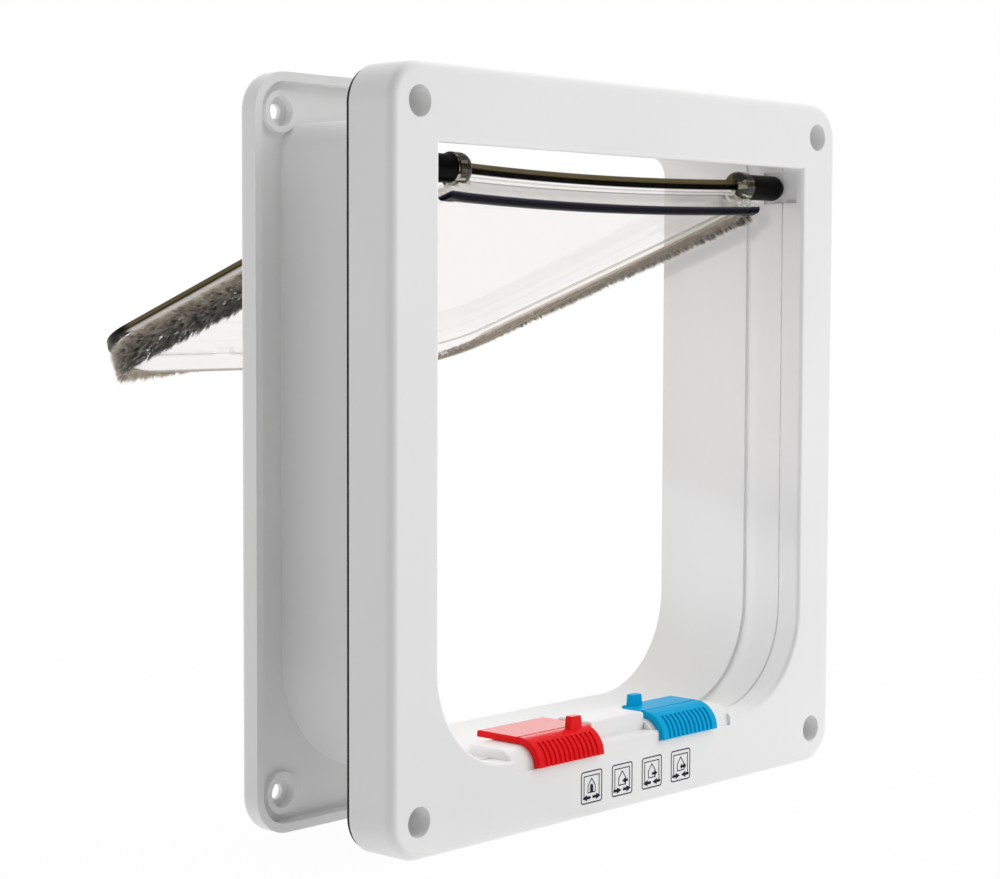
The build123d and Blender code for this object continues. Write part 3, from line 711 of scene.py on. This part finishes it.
def stroke(path, width, closed=True):
    """A line of even width along a path: each point is moved both ways along the mitre of its two sides."""
    path = np.asarray(path, float)
    ahead = np.roll(path, -1, axis=0) - path
    if not closed:
        ahead[-1] = ahead[-2]
    ahead /= np.linalg.norm(ahead, axis=1, keepdims=True)
    behind = np.roll(ahead, 1, axis=0)
    if not closed:
        behind[0] = ahead[0]
    normal = np.stack((-ahead[:, 1], ahead[:, 0]), axis=-1)
    mitre = normal + np.stack((-behind[:, 1], behind[:, 0]), axis=-1)
    mitre /= (mitre * normal).sum(axis=1, keepdims=True)
    return prism(path + mitre * width / 2, path - mitre * width / 2, closed)


def rounded_frame(half, corner, count=6):
    """A square with rounded corners, as four quarter circles joined by straight sides."""
    angle = np.linspace(0, np.pi / 2, count)[None] + np.arange(4)[:, None] * np.pi / 2
    middle = np.array(((1, 1), (-1, 1), (-1, -1), (1, -1))) * (half - corner)
    return (middle[:, None] + corner * np.stack((np.cos(angle), np.sin(angle)), axis=-1)).reshape(-1, 2)


def arrow(tail, head, width):
    """A solid arrow along the face from tail to head, as a shaft and a wider point."""
    neck = head + (tail - head) * 0.55
    across = np.array((tail, neck, neck, head))
    half = np.array((0.22, 0.22, 0.5, 0.02)) * width
    return across, half


sign_parts = []


def ink(part, centre):
    """Adds a part of a sign at its place on the face."""
    points, faces = part
    sign_parts.append((points + (centre[0], 0, centre[1]), faces))


settings = (
    ((-1, 1), None),
    ((1, 1), (-1,)),
    ((-1, -1), (1,)),
    ((1, -1), (-1, 1)),
)
for number, (slides, passage) in enumerate(settings):
    centre = (sign_first_x + number * sign_pitch, sign_height)
    ink(stroke(rounded_frame(sign_half, sign_corner), line_width), centre)
    doorway = np.array(((-4.0, -3.6), (-4.0, 3.9), (4.0, 3.9), (4.0, -3.6))) * unit
    ink(stroke(doorway, fine_width, closed=False), centre)
    house = np.array(((-1.9, -1.9), (1.9, -1.9), (1.9, 0.5), (0.0, 2.9), (-1.9, 0.5))) * unit
    ink(stroke(house, fine_width), centre)
    for place, way in zip((-2.6, 2.6), slides):
        across, half = arrow((place - way * 2.1) * unit, (place + way * 2.1) * unit, 2.2 * unit)
        left = np.stack((across, -3.6 * unit + half * way), axis=-1)
        right = np.stack((across, -3.6 * unit - half * way), axis=-1)
        ink(prism(left, right, closed=False), centre)
    if passage is None:
        door_x = np.linspace(-0.8, 0.8, 9) * unit
        door_top = 0.2 * unit + np.sqrt(np.clip((0.8 * unit) ** 2 - door_x ** 2, 0, None))
        left = np.stack((door_x, door_top), axis=-1)
        right = np.stack((door_x, np.full_like(door_x, -1.8 * unit)), axis=-1)
        ink(prism(left, right, closed=False), centre)
    else:
        for way in passage:
            tail, head = (1.6 - way * 1.5, 1.6 + way * 1.5) if len(passage) == 1 else (1.5, 1.5 + way * 1.7)
            across, half = arrow(tail * unit, head * unit, 2.1 * unit)
            left = np.stack((across, -0.6 * unit + half * way), axis=-1)
            right = np.stack((across, -0.6 * unit - half * way), axis=-1)
            ink(prism(left, right, closed=False), centre)

navy_ink = moulded_plastic("navy_ink", (0.006, 0.006, 0.022), 0.5, 0.00001, mottle=0.3, gloss=0.2)
starts = np.cumsum([0] + [len(points) for points, _ in sign_parts[:-1]])
sign_points = np.concatenate([points for points, _ in sign_parts])
sign_faces = np.concatenate([faces + start for (_, faces), start in zip(sign_parts, starts)])
signs = mesh_piece("pictograms", sign_points, sign_faces, navy_ink)
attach(signs, "frame")
